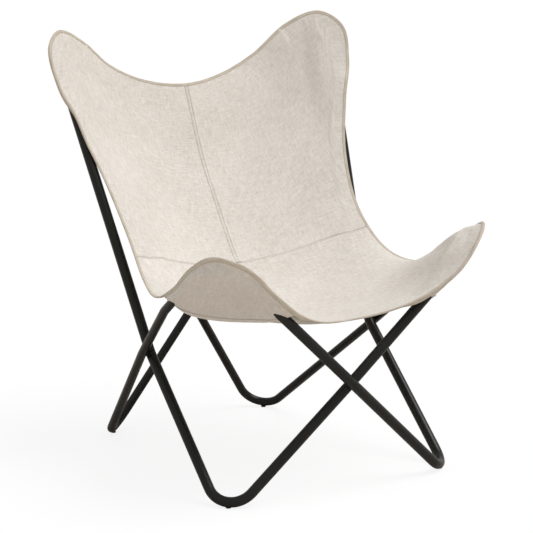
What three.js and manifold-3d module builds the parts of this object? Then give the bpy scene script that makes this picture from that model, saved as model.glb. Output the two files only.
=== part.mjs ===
// Butterfly sling chair: two bent steel tube loops, welded together where they cross,
// carry a sewn canvas sling that is slipped over their four tips.
// Millimetres, +Z up, the front faces -Y; left and right are as seen from the front.
import * as THREE from "three";
import { mergeVertices } from "three/addons/utils/BufferGeometryUtils.js";
import Module from "manifold-3d";

// Driving dimensions
const overall = { width: 740, depth: 750, height: 890 };
const tube = { diameter: 18, wall: 1.5 };
const bendRadius = {
  frontFoot: 53, rearFoot: 50, side: 60, crossing: 90, arm: 72, frontTip: 62, rearTip: 55,
};
const weld = { gap: 1, radius: 9 };
const spigot = { length: 40, clearance: 0.6, pastBend: 26 };
const glide = { headDiameter: 11, headHeight: 2.5, stemDiameter: 5, stemLength: 6, clearance: 0.3 };
const cloth = { thickness: 1.5, clearance: 1.7, slack: 1, plateau: 20, fade: 65 };
const strip = { rest: 25, reach: 75 };
const binding = { width: 3, thickness: 4 };
const hemTail = 14;
const gap = 0.3;

// Counts: flats round a tube and round the binding, degrees a bend turns per step, steps of a wrap
const flats = 10;
const bindingFlats = 6;
const bendStep = THREE.MathUtils.degToRad(15);
const wrapSteps = 6;
const settlePasses = 4;

// Where the frame's centrelines turn, as shares of half the width, the depth and the height
const frameShares = {
  frontFoot: [0.742, -0.362],
  rearFoot: [0.528, 0.492],
  sideCrossing: [0.727, 0.039, 0.289],
  frontCrossing: [0, -0.416, 0.256],
  backCrossing: [0, 0.419, 0.308],
  armBend: [0.859, -0.156, 0.427],
  frontTipOuter: [0.875, -0.367, 0.559],
  frontTipInner: [0.749, -0.443, 0.551],
  rearTipOuter: [0.908, 0.4095, 0.97],
  rearTipInner: [0.735, 0.46, 0.974],
};

// The sling's right-hand edge from the top centre over both tips to the front centre, same shares
const topEdgeShares = [
  [0, 0.461, 0.842],
  [0.257, 0.472, 0.858],
  [0.486, 0.472, 0.902],
  [0.689, 0.455, 0.969],
];
const sideEdgeShares = [
  [0.868, 0.415, 0.999],
  [0.978, 0.368, 0.964],
  [0.969, 0.329, 0.884],
  [0.891, 0.285, 0.787],
  [0.807, 0.221, 0.674],
  [0.769, 0.124, 0.551],
  [0.803, 0.008, 0.467],
  [0.854, -0.097, 0.449],
  [0.886, -0.225, 0.491],
  [0.897, -0.322, 0.551],
  [0.862, -0.411, 0.5885],
];
const frontEdgeShares = [
  [0.735, -0.481, 0.568],
  [0.581, -0.497, 0.503],
  [0.405, -0.468, 0.449],
  [0.203, -0.416, 0.412],
  [0, -0.376, 0.397],
];
// The sling's middle line from the top edge to the front edge
const middleShares = [
  [0, 0.461, 0.842],
  [0, 0.415, 0.755],
  [0, 0.368, 0.67],
  [0, 0.305, 0.591],
  [0, 0.24, 0.512],
  [0, 0.173, 0.443],
  [0, 0.085, 0.394],
  [0, -0.013, 0.366],
  [0, -0.131, 0.359],
  [0, -0.253, 0.372],
  [0, -0.376, 0.397],
];

// The sling is measured by s, from its middle line to its side edge, and t, from top edge to front.
// A mark is a place on its edge, counted in the edge's points above from 0 at the top centre.
const rearTipMark = topEdgeShares.length;
const frontTipMark = rearTipMark + sideEdgeShares.length - 1;
const frontCentreMark = frontTipMark + frontEdgeShares.length;
const pullPower = 2.5;
const seamShares = { middle: 0.5, rise: 0.04, mark: 9.4 };
// The inner grid lines of each panel, and the mark on the edge that the strip from each runs out to
const acrossBack = {
  shares: [0, 0.14, 0.28, 0.42, 0.54, 0.61, 0.67, 0.72, 0.76, 0.8, 0.83, 0.86],
  marks: [0, 0.56, 1.12, 1.68, 2.2, 2.5, 2.75, 3, 3.25, 3.5, 3.75, 4.02],
};
const downBack = {
  shares: [0.075, 0.095, 0.115, 0.135, 0.155, 0.18, 0.205, 0.235, 0.265, 0.31, 0.36, 0.42, 0.475],
  marks: [4.02, 4.28, 4.54, 4.8, 5.05, 5.35, 5.7, 6.1, 6.5, 7, 7.55, 8.15, 8.75],
};
const downSeat = {
  shares: [0.585, 0.63, 0.68, 0.725, 0.765, 0.8, 0.835, 0.86, 0.885, 0.905, 0.925],
  marks: [9.85, 10.3, 10.8, 11.3, 11.8, 12.3, 12.65, 12.95, 13.25, 13.55, 13.85],
};
const acrossSeat = {
  shares: [0.86, 0.835, 0.8, 0.77, 0.73, 0.68, 0.62, 0.55, 0.48, 0.4, 0.27, 0.13, 0],
  marks: [13.85, 14.1, 14.35, 14.65, 15, 15.4, 15.8, 16.25, 16.7, 17.2, 17.8, 18.4, 19],
};
const pocketShares = { rear: [2.2, 6.1], front: [12.3, 16.7] };
const rampShare = 0.8;
const stripShares = [0, 0.3, 0.55, 0.78, 1];
const hemShares = [0.35, 0.7, 1];

const wasm = await Module();
wasm.setup();

const paint = {
  tube: new THREE.MeshStandardMaterial({ color: 0x1f1f1f, roughness: 0.45, metalness: 0.3 }),
  weld: new THREE.MeshStandardMaterial({ color: 0x232323, roughness: 0.5, metalness: 0.3 }),
  steel: new THREE.MeshStandardMaterial({ color: 0x8c8c8c, roughness: 0.4, metalness: 0.9 }),
  plastic: new THREE.MeshStandardMaterial({ color: 0x141414, roughness: 0.5, metalness: 0 }),
  canvas: new THREE.MeshStandardMaterial({ color: 0xdad2c8, roughness: 0.9, metalness: 0 }),
  tape: new THREE.MeshStandardMaterial({ color: 0xa89a88, roughness: 0.9, metalness: 0 }),
};

const { smoothstep, lerp, clamp } = THREE.MathUtils;
const point = ([x, y, z = 0], side = 1) =>
  new THREE.Vector3((side * x * overall.width) / 2, y * overall.depth, z * overall.height);
const mirrored = (p) => new THREE.Vector3(-p.x, p.y, p.z);
const lastOf = (list) => list[list.length - 1];

// The points of a bend of one radius that turns the corner between two straight stretches
function bend(before, corner, after, radius) {
  const along = corner.clone().sub(before).normalize();
  const onward = after.clone().sub(corner).normalize();
  const turn = along.angleTo(onward);
  const inward = onward.clone().addScaledVector(along, -onward.dot(along)).normalize();
  const start = corner.clone().addScaledVector(along, -radius * Math.tan(turn / 2));
  const centre = start.addScaledVector(inward, radius);
  const steps = 2 * Math.max(1, Math.ceil(turn / bendStep / 2));
  return Array.from({ length: steps + 1 }, (_, k) => {
    const angle = (turn * k) / steps;
    return centre
      .clone()
      .addScaledVector(inward, -radius * Math.cos(angle))
      .addScaledVector(along, radius * Math.sin(angle));
  });
}

const middleOf = (points) => points[(points.length - 1) / 2].clone();
const lowestOf = (points) => points.reduce((low, p) => (p.z < low.z ? p : low));

// A foot's corner, lowered or raised until the lowest point of its bend stands on the glide
function settledFoot(before, shares, side, after, radius) {
  const foot = point(shares, side);
  const sole = glide.headHeight + gap + tube.diameter / 2;
  for (let pass = 0; pass < settlePasses; pass++) {
    foot.z += sole - lowestOf(bend(before, foot, after, radius)).z;
  }
  return foot;
}

// One loop runs over the rear tip of one side, that side's front foot and the other side's front tip
// and rear foot. At each crossing the two loops pass one tube and a weld's gap apart.
function loopCorners(side) {
  const spacing = tube.diameter + weld.gap;
  const offset = new THREE.Vector3(0, (-side * spacing) / 2, 0);
  const frontCrossing = point(frameShares.frontCrossing).add(offset);
  const backCrossing = point(frameShares.backCrossing).add(offset);
  const innerCrossing = point(frameShares.sideCrossing, side);
  const rearTipOuter = point(frameShares.rearTipOuter, side);
  const frontFoot = settledFoot(
    innerCrossing, frameShares.frontFoot, side, frontCrossing, bendRadius.frontFoot,
  );
  const outerCrossing = mirrored(middleOf(bend(rearTipOuter, innerCrossing, frontFoot, bendRadius.side)));
  outerCrossing.x -= side * spacing;
  const rearFoot = settledFoot(
    outerCrossing, frameShares.rearFoot, -side, backCrossing, bendRadius.rearFoot,
  );
  return [
    { at: point(frameShares.rearTipInner, side), radius: bendRadius.rearTip },
    { at: rearTipOuter, radius: bendRadius.rearTip },
    { at: innerCrossing, radius: bendRadius.side },
    { at: frontFoot, radius: bendRadius.frontFoot },
    { at: frontCrossing, radius: bendRadius.crossing },
    { at: point(frameShares.frontTipInner, -side), radius: bendRadius.frontTip },
    { at: point(frameShares.frontTipOuter, -side), radius: bendRadius.frontTip },
    { at: point(frameShares.armBend, -side), radius: bendRadius.arm },
    { at: outerCrossing, radius: bendRadius.side },
    { at: rearFoot, radius: bendRadius.rearFoot },
    { at: backCrossing, radius: bendRadius.crossing },
  ];
}

// The bends of a closed loop of corners, one list of points per corner
function loopBends(corners) {
  return corners.map(({ at, radius }, i) => {
    const before = corners[(i + corners.length - 1) % corners.length].at;
    const after = corners[(i + 1) % corners.length].at;
    return bend(before, at, after, radius);
  });
}

// A tube joint lies a little past the end of one bend, on the way to the next
function jointAfter(from, to) {
  const along = to[0].clone().sub(lastOf(from)).normalize();
  return { at: lastOf(from).clone().addScaledVector(along, spigot.pastBend), along };
}

// Each loop as its front leg tube and its rear leg tube, with the two joints between them
function loopParts(side) {
  const bends = loopBends(loopCorners(side));
  const [rearInner, rearOuter, inner, frontFoot, front, frontInner, frontOuter] = bends;
  const [arm, outer, rearFoot, back] = bends.slice(-4);
  const rearJoint = jointAfter([...rearInner].reverse(), [...back].reverse());
  const frontJoint = jointAfter(frontOuter, arm);
  const endAt = ({ at, along }, sign) => at.clone().addScaledVector(along, (sign * gap) / 2);
  const frontBends = [rearInner, rearOuter, inner, frontFoot, front, frontInner, frontOuter];
  return {
    front: [endAt(rearJoint, -1), ...frontBends.flat(), endAt(frontJoint, -1)],
    rear: [endAt(frontJoint, 1), ...arm, ...outer, ...rearFoot, ...back, endAt(rearJoint, 1)],
    centreline: bends.flat(),
    joints: [rearJoint, frontJoint],
    feet: [frontFoot, rearFoot].map(lowestOf),
    crossings: {
      inner: middleOf(inner),
      outer: middleOf(outer),
      front: middleOf(front),
      back: middleOf(back),
    },
  };
}

// Rings of points round a path, turned as little as the path's bends allow
function ringsAlong(path, radius) {
  const ways = path.slice(1).map((p, i) => p.clone().sub(path[i]).normalize());
  const up = new THREE.Vector3(0, 0, 1);
  let across = new THREE.Vector3().crossVectors(ways[0], up).normalize();
  return path.map((p, k) => {
    const before = ways[Math.max(0, k - 1)];
    const after = ways[Math.min(ways.length - 1, k)];
    const way = before.clone().add(after).normalize();
    across = across.clone().addScaledVector(way, -across.dot(way)).normalize();
    const third = new THREE.Vector3().crossVectors(way, across);
    return Array.from({ length: flats }, (_, i) => {
      const angle = (2 * Math.PI * i) / flats;
      return p
        .clone()
        .addScaledVector(across, radius * Math.cos(angle))
        .addScaledVector(third, radius * Math.sin(angle));
    });
  });
}

// Four-sided faces between neighbouring rows of points; a closed row joins its end to its start
function facesBetween(rows, closed = false) {
  const faces = [];
  for (let k = 0; k + 1 < rows.length; k++) {
    const count = rows[k].length;
    for (let j = 0; j < (closed ? count : count - 1); j++) {
      const next = (j + 1) % count;
      faces.push([rows[k][j], rows[k][next], rows[k + 1][next], rows[k + 1][j]]);
    }
  }
  return faces;
}

// One geometry from faces given as lists of corners in turn
function geometryOf(faces) {
  const corners = [];
  faces.forEach((face) => {
    for (let i = 1; i + 1 < face.length; i++) corners.push(face[0], face[i], face[i + 1]);
  });
  return mergeVertices(new THREE.BufferGeometry().setFromPoints(corners));
}

function solidOf(geometry) {
  const bare = geometry.clone();
  bare.deleteAttribute("normal");
  bare.deleteAttribute("uv");
  const merged = mergeVertices(bare);
  return new wasm.Manifold(
    new wasm.Mesh({
      numProp: 3,
      vertProperties: merged.attributes.position.array,
      triVerts: new Uint32Array(merged.index.array),
    }),
  );
}

function geometryFrom(solid) {
  const mesh = solid.getMesh();
  return new THREE.BufferGeometry()
    .setAttribute("position", new THREE.BufferAttribute(mesh.vertProperties, 3))
    .setIndex(new THREE.BufferAttribute(mesh.triVerts, 1));
}

// A solid rod along a path
function rodSolid(path, radius) {
  const rings = ringsAlong(path, radius);
  const ends = [[...rings[0]].reverse(), lastOf(rings)];
  return solidOf(geometryOf([...facesBetween(rings, true), ...ends]));
}

// A bent tube, open at both ends
function tubeSolid(path) {
  const outer = ringsAlong(path, tube.diameter / 2);
  const inner = ringsAlong(path, tube.diameter / 2 - tube.wall);
  const bore = facesBetween(inner, true).map((face) => face.reverse());
  const start = facesBetween([inner[0], outer[0]], true);
  const end = facesBetween([lastOf(outer), lastOf(inner)], true);
  return solidOf(geometryOf([...facesBetween(outer, true), ...bore, ...start, ...end]));
}

// A glide's stem goes up through this hole in the tube's underside
function stemHole(foot) {
  const radius = glide.stemDiameter / 2 + glide.clearance;
  const hole = new THREE.CylinderGeometry(radius, radius, tube.diameter, 2 * flats).rotateX(Math.PI / 2);
  return solidOf(hole.translate(foot.x, foot.y, foot.z - tube.diameter / 2));
}

function glideGeometry(foot) {
  const top = glide.headHeight + glide.stemLength;
  const profile = [
    [0, 0],
    [glide.headDiameter / 2, 0],
    [glide.headDiameter / 2, glide.headHeight],
    [glide.stemDiameter / 2, glide.headHeight],
    [glide.stemDiameter / 2, top],
    [0, top],
  ];
  const turned = new THREE.LatheGeometry(profile.map((p) => new THREE.Vector2(...p)), 2 * flats);
  return turned.rotateX(Math.PI / 2).translate(foot.x, foot.y, 0);
}

function spigotGeometry({ at, along }) {
  const ends = [-1, 1].map((sign) => at.clone().addScaledVector(along, (sign * spigot.length) / 2));
  return geometryFrom(rodSolid(ends, tube.diameter / 2 - tube.wall - spigot.clearance));
}

// A weld fills the nip between two crossing tubes and keeps its gap to both
function weldGeometry(places, paths) {
  const at = places[0].clone().add(places[1]).multiplyScalar(1 / 2);
  const blob = new THREE.SphereGeometry(weld.radius, 2 * flats, flats).translate(at.x, at.y, at.z);
  const rods = paths.map((path) => rodSolid(path, tube.diameter / 2 + gap));
  return geometryFrom(rods.reduce((left, rod) => left.subtract(rod), solidOf(blob)));
}

// The sling's edge and middle line
const halfEdge = [...topEdgeShares, ...sideEdgeShares, ...frontEdgeShares];
const edgePoints = [
  ...halfEdge.map((shares) => point(shares)),
  ...halfEdge.slice(1, -1).reverse().map((shares) => point(shares, -1)),
];
const edgeCurve = new THREE.CatmullRomCurve3(edgePoints, true);
const middleCurve = new THREE.CatmullRomCurve3(middleShares.map((shares) => point(shares)));
const edgeAt = (edgeMark) => edgeCurve.getPoint(edgeMark / edgePoints.length);
const topEdge = (s) => edgeAt(s * rearTipMark);
const sideEdge = (t) => edgeAt(lerp(rearTipMark, frontTipMark, t));
const frontEdge = (s) => edgeAt(lerp(frontCentreMark, frontTipMark, s));

// The sling's middle surface: the width grows with s, the fall and the rise with its square
function surfaceAt(s, t) {
  const between = (inner, outer) => {
    const y = lerp(inner.y, outer.y, s * s);
    const z = lerp(inner.z, outer.z, s * s);
    return new THREE.Vector3(lerp(inner.x, outer.x, s), y, z);
  };
  const topChange = topEdge(s).sub(between(topEdge(0), topEdge(1)));
  const frontChange = frontEdge(s).sub(between(frontEdge(0), frontEdge(1)));
  return between(middleCurve.getPoint(t), sideEdge(t))
    .addScaledVector(topChange, (1 - t) ** pullPower)
    .addScaledVector(frontChange, t ** pullPower);
}

// The way out of the surface on the sitter's side, taken a little inside the edges
const probeShares = { step: 0.002, side: 0.97, end: 0.02 };
function normalAt(s, t) {
  const u = clamp(s, probeShares.step, probeShares.side);
  const v = clamp(t, probeShares.end, 1 - probeShares.end);
  const across = surfaceAt(u + probeShares.step, v).sub(surfaceAt(u - probeShares.step, v));
  const down = surfaceAt(u, v + probeShares.step).sub(surfaceAt(u, v - probeShares.step));
  const normal = down.cross(across);
  if (s === 0) normal.x = 0;
  return normal.normalize();
}

// Where a mark on the edge lies in s and t
function placeOf(edgeMark) {
  if (edgeMark <= rearTipMark) return [edgeMark / rearTipMark, 0];
  if (edgeMark <= frontTipMark) return [1, (edgeMark - rearTipMark) / (frontTipMark - rearTipMark)];
  return [(frontCentreMark - edgeMark) / (frontCentreMark - frontTipMark), 1];
}

const loops = [loopParts(-1), loopParts(1)];
const centrelines = loops.flatMap(({ centreline }) => {
  const run = [...centreline, centreline[0]];
  return [run, run.map(mirrored)];
});
const clothReach = cloth.thickness / 2 + cloth.clearance;
const wrapRadius = tube.diameter / 2 + clothReach;

// How far the tubes behind it push the sling out here
function liftAt(place, normal) {
  let lift = 0;
  const nearest = new THREE.Vector3();
  centrelines.forEach((run) => {
    for (let k = 0; k + 1 < run.length; k++) {
      new THREE.Line3(run[k], run[k + 1]).closestPointToPoint(place, true, nearest).sub(place);
      const height = nearest.dot(normal);
      const aside = nearest.addScaledVector(normal, -height).length();
      const need = wrapRadius + cloth.slack + height;
      lift = Math.max(lift, need * (1 - smoothstep(aside, cloth.plateau, cloth.fade)));
    }
  });
  return lift;
}

function raised(s, t) {
  const normal = normalAt(s, t);
  const place = surfaceAt(s, t);
  return place.addScaledVector(normal, liftAt(place, normal));
}

// The plane square to the edge at a mark: the way along, the way off the sling and the way inward
function sectionAt(edgeMark) {
  const at = edgeAt(edgeMark);
  const way = edgeAt(edgeMark + probeShares.step).sub(edgeAt(edgeMark - probeShares.step)).normalize();
  const normal = normalAt(...placeOf(edgeMark));
  normal.addScaledVector(way, -normal.dot(way)).normalize();
  const inward = new THREE.Vector3().crossVectors(way, normal);
  const put = ({ x, y }) => at.clone().addScaledVector(inward, x).addScaledVector(normal, y);
  return { at, way, normal, inward, put };
}

// Where the tube inside a pocket passes through a section, as a distance inward and a height, and the
// radius that clears it there, larger where it passes askew; of the two loops' places, the one that
// stands out more on the side that is asked for
const leastCrossingShare = 0.7;
function tubeIn({ at, way, normal, inward }, up) {
  let found = null;
  centrelines.forEach((run) => {
    for (let k = 0; k + 1 < run.length; k++) {
      const before = run[k].clone().sub(at).dot(way);
      const after = run[k + 1].clone().sub(at).dot(way);
      if (before * after > 0 || before === after) continue;
      const hit = run[k].clone().lerp(run[k + 1], before / (before - after)).sub(at);
      const centre = new THREE.Vector2(hit.dot(inward), hit.dot(normal));
      const crossing = Math.abs(before - after) / run[k].distanceTo(run[k + 1]);
      const radius = tube.diameter / 2 / Math.max(crossing, leastCrossingShare) + clothReach;
      if (hit.length() < strip.reach && (!found || up * centre.y > up * found.centre.y)) {
        found = { centre, radius };
      }
    }
  });
  return found;
}

// A line in a section from the sheet's edge round the tube to straight above or below its centre
function wrapLine(edge, { centre, radius }, up) {
  const reach = edge.clone().sub(centre);
  const lean = Math.atan2(up * reach.y, reach.x);
  const from = lean < -Math.PI / 2 ? lean + 2 * Math.PI : lean;
  const spread = Math.acos(Math.min(1, radius / reach.length()));
  const start = Math.max(Math.PI / 2, from - spread);
  const line = [edge];
  for (let k = 0; k <= wrapSteps; k++) {
    const angle = lerp(start, Math.PI / 2, k / wrapSteps);
    const round = new THREE.Vector2(Math.cos(angle), up * Math.sin(angle));
    line.push(round.multiplyScalar(radius).add(centre));
  }
  return line;
}

// Points at the given shares of a line's length
function sampled(line, shares) {
  const lengths = [0];
  line.slice(1).forEach((p, i) => lengths.push(lengths[i] + p.distanceTo(line[i])));
  return shares.map((share) => {
    const distance = share * lastOf(lengths);
    let k = 1;
    while (k < line.length - 1 && lengths[k] < distance) k++;
    const span = lengths[k] - lengths[k - 1];
    return line[k - 1].clone().lerp(line[k], (distance - lengths[k - 1]) / span);
  });
}

// 1 along the edge of a pocket, fading to 0 beyond its ends
function pocketedAt(edgeMark) {
  const shares = [pocketShares.rear, pocketShares.front].map(([from, to]) => {
    const entered = smoothstep(edgeMark, from - rampShare, from);
    return entered * (1 - smoothstep(edgeMark, to, to + rampShare));
  });
  return Math.max(...shares);
}

const inset = binding.width + gap + cloth.thickness / 2;
const seamHalf = (cloth.thickness + gap) / 2;

// The top sheet's points in a section, from its edge inward to over the tube
function topStrip(edgeMark) {
  const section = sectionAt(edgeMark);
  const share = pocketedAt(edgeMark);
  const open = stripShares.map((step) => {
    const x = lerp(inset, strip.rest, step);
    return new THREE.Vector2(x, liftAt(section.put({ x, y: 0 }), section.normal) + share * seamHalf);
  });
  const inside = share > 0 ? tubeIn(section, 1) : null;
  if (!inside || inside.centre.y < -wrapRadius || inside.centre.x < inset) return open.map(section.put);
  const closed = sampled(wrapLine(new THREE.Vector2(inset, seamHalf), inside, 1), stripShares);
  return open.map((p, i) => section.put(p.lerp(closed[i], share)));
}

// How high the binding stands over the middle surface
function bindingLift(edgeMark) {
  const section = sectionAt(edgeMark);
  return liftAt(section.put({ x: inset, y: 0 }), section.normal) * (1 - pocketedAt(edgeMark));
}

// A thin closed sheet: the given faces moved half its thickness to both sides, and a rim round them
function sheetGeometry(faces) {
  const mid = geometryOf(faces);
  mid.computeVertexNormals();
  const { position, normal } = mid.attributes;
  const [top, bottom] = [1, -1].map((sign) =>
    Array.from({ length: position.count }, (_, i) => {
      const off = new THREE.Vector3().fromBufferAttribute(normal, i);
      off.multiplyScalar((sign * cloth.thickness) / 2);
      return off.add(new THREE.Vector3().fromBufferAttribute(position, i));
    }),
  );
  const edges = new Set();
  const made = [];
  for (let i = 0; i < mid.index.count; i += 3) {
    const [a, b, c] = mid.index.array.slice(i, i + 3);
    made.push([top[a], top[b], top[c]], [bottom[c], bottom[b], bottom[a]]);
    [`${a} ${b}`, `${b} ${c}`, `${c} ${a}`].forEach((edge) => edges.add(edge));
  }
  edges.forEach((edge) => {
    const [from, to] = edge.split(" ");
    if (!edges.has(`${to} ${from}`)) made.push([top[to], top[from], bottom[from], bottom[to]]);
  });
  return geometryOf(made);
}

const mirroredFaces = (faces) => faces.map((face) => face.map(mirrored).reverse());
const seamT = (s) => seamShares.middle + seamShares.rise * s * s;
const seamStep = gap / 2 / overall.height;

// A strip's points at the seam between back and seat stand half a gap off it, each panel its own way
function nudged(strip, direction) {
  const { way } = sectionAt(seamShares.mark);
  strip.slice(0, -1).forEach((p) => p.addScaledVector(way, (direction * gap) / 2));
}

// The right-hand half of the back: an inner grid, and a strip of sections round its outer edges
function backFaces() {
  const grid = acrossBack.shares.map((s) => [
    ...downBack.shares.map((t) => raised(s, t)),
    raised(s, seamT(s) - seamStep),
  ]);
  const inner = [...grid.map((column) => column[0]), ...lastOf(grid).slice(1)];
  const marks = [...acrossBack.marks, ...downBack.marks.slice(1), seamShares.mark];
  const strips = marks.map((edgeMark, k) => [...topStrip(edgeMark), inner[k]]);
  [...grid[0], ...strips[0]].forEach((p) => (p.x = gap / 2));
  nudged(lastOf(strips), -1);
  return [...facesBetween(grid), ...facesBetween(strips)];
}

// The right-hand half of the seat, from the seam to the front edge
function seatFaces() {
  const across = [...acrossSeat.shares].reverse();
  const grid = across.map((s) => [
    raised(s, seamT(s) + seamStep),
    ...downSeat.shares.map((t) => raised(s, t)),
  ]);
  const inner = [...lastOf(grid), ...grid.map(lastOf).reverse().slice(1)];
  const marks = [seamShares.mark, ...downSeat.marks, ...acrossSeat.marks.slice(1)];
  const strips = marks.map((edgeMark, k) => [...topStrip(edgeMark), inner[k]]);
  [...grid[0], ...lastOf(strips)].forEach((p) => (p.x = 0));
  nudged(strips[0], 1);
  return [...facesBetween(grid), ...facesBetween(strips)];
}

const backMarks = [...acrossBack.marks, ...downBack.marks.slice(1)];
const seatMarks = [...downSeat.marks, ...acrossSeat.marks.slice(1)];
const allMarks = [...backMarks, seamShares.mark, ...seatMarks];

// A pocket wraps a tip of the frame from below, from the edge seam to a straight hem
function pocketFaces([from, to]) {
  const marks = allMarks.filter((edgeMark) => edgeMark >= from && edgeMark <= to);
  const sections = marks.map(sectionAt);
  const rows = sections.map((section) => {
    const edge = new THREE.Vector2(inset, -seamHalf);
    return sampled(wrapLine(edge, tubeIn(section, -1), -1), stripShares).map(section.put);
  });
  const [start, end] = [0, marks.length - 1].map((k) =>
    lastOf(rows[k]).clone().addScaledVector(sections[k].inward, hemTail),
  );
  rows.forEach((row, k) => {
    const under = lastOf(row);
    const hem = start.clone().lerp(end, k / (marks.length - 1));
    hemShares.forEach((share) => row.push(under.clone().lerp(hem, share)));
  });
  return facesBetween(rows);
}

// The tape that binds the sling's whole edge, one closed bead
function bindingGeometry() {
  const right = allMarks.map((edgeMark) => {
    const section = sectionAt(edgeMark);
    const lift = bindingLift(edgeMark);
    return Array.from({ length: bindingFlats }, (_, i) => {
      const angle = (2 * Math.PI * i) / bindingFlats;
      const x = (binding.width / 2) * (1 + Math.cos(angle));
      return section.put({ x, y: lift - (binding.thickness / 2) * Math.sin(angle) });
    });
  });
  [...right[0], ...lastOf(right)].forEach((p) => (p.x = 0));
  const rightFaces = facesBetween(right, true);
  return geometryOf([...rightFaces, ...mirroredFaces(rightFaces)]);
}

const chair = new THREE.Group();
function add(name, geometry, material) {
  const mesh = new THREE.Mesh(geometry, material);
  mesh.name = name;
  chair.add(mesh);
}

// The frame: two loops, each from a front leg tube of its own side and a rear leg tube of the other
loops.forEach(({ front, rear, joints, feet }, i) => {
  const side = ["left", "right"][i];
  const other = ["right", "left"][i];
  const [frontFoot, rearFoot] = feet;
  add(`${side}_front_leg_tube`, geometryFrom(tubeSolid(front).subtract(stemHole(frontFoot))), paint.tube);
  add(`${other}_rear_leg_tube`, geometryFrom(tubeSolid(rear).subtract(stemHole(rearFoot))), paint.tube);
  add(`${side}_rear_spigot`, spigotGeometry(joints[0]), paint.steel);
  add(`${other}_front_spigot`, spigotGeometry(joints[1]), paint.steel);
  add(`${side}_front_glide`, glideGeometry(frontFoot), paint.plastic);
  add(`${other}_rear_glide`, glideGeometry(rearFoot), paint.plastic);
});

const [leftLoop, rightLoop] = loops;
const leftPoints = leftLoop.crossings;
const rightPoints = rightLoop.crossings;
const weldPlaces = {
  front_weld: [leftPoints.front, rightPoints.front],
  back_weld: [leftPoints.back, rightPoints.back],
  left_weld: [leftPoints.inner, rightPoints.outer],
  right_weld: [rightPoints.inner, leftPoints.outer],
};
const tubePaths = loops.flatMap(({ front, rear }) => [front, rear]);
Object.entries(weldPlaces).forEach(([name, places]) => {
  add(name, weldGeometry(places, tubePaths), paint.weld);
});

// The sling: two back panels, the seat, four tip pockets and the binding
const rightBack = backFaces();
const rightSeat = seatFaces();
add("right_back_panel", sheetGeometry(rightBack), paint.canvas);
add("left_back_panel", sheetGeometry(mirroredFaces(rightBack)), paint.canvas);
add("seat_panel", sheetGeometry([...rightSeat, ...mirroredFaces(rightSeat)]), paint.canvas);
["rear", "front"].forEach((end) => {
  const faces = pocketFaces(pocketShares[end]);
  add(`right_${end}_pocket`, sheetGeometry(faces), paint.canvas);
  add(`left_${end}_pocket`, sheetGeometry(mirroredFaces(faces)), paint.canvas);
});
add("edge_binding", bindingGeometry(), paint.tape);

// The origin lies on the floor under the middle of the chair's bounding box
const box = new THREE.Box3().setFromObject(chair);
const middle = box.getCenter(new THREE.Vector3());
chair.position.set(-middle.x, -middle.y, -box.min.z);

export default chair;
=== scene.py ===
# Butterfly sling chair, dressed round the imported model: bent steel tube and a sewn canvas sling.
# Metres, +Z up, the front faces -Y; left and right are as seen from the front.
import math

import bpy
import numpy as np
from mathutils import Matrix, Vector
from mathutils.bvhtree import BVHTree


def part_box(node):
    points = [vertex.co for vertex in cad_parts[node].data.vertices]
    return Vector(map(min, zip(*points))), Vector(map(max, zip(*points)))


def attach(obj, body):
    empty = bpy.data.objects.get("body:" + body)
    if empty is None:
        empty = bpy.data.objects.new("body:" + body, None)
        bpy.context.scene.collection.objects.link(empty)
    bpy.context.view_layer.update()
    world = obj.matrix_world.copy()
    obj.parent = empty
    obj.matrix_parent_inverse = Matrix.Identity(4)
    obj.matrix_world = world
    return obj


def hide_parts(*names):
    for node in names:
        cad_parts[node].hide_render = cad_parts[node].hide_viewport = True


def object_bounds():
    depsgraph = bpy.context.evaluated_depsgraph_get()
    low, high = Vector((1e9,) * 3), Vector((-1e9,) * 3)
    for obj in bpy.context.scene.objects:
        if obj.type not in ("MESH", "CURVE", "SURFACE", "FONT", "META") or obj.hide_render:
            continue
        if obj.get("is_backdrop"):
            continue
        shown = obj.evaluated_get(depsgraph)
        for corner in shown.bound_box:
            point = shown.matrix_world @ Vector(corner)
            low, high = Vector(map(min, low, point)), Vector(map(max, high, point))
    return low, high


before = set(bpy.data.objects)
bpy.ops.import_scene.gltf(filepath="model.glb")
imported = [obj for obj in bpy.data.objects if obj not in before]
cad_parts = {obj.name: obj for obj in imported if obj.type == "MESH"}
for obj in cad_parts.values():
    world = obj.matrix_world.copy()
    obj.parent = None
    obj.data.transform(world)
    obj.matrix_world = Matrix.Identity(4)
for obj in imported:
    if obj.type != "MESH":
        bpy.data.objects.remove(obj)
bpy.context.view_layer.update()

# Camera: a long lens from the photograph's place, low on the chair's left front side.
# Its axis passes a little right of and below the middle of the square picture.
picture = 533
optical_centre = (268.0, 271.2)
focal_length_in_pixels = 2582
sensor = 36
eye = (-2.765, -4.431, 1.580)
azimuth, elevation = math.radians(-31.91), math.radians(12.72)
bpy.ops.object.camera_add(location=eye, rotation=(math.pi / 2 - elevation, 0, azimuth))
camera = bpy.context.object
camera.data.sensor_width = sensor
camera.data.lens = focal_length_in_pixels / picture * sensor
camera.data.shift_x = (picture / 2 - optical_centre[0]) / picture
camera.data.shift_y = (optical_centre[1] - picture / 2) / picture
camera.data.clip_end = 50
bpy.context.scene.camera = camera


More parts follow.
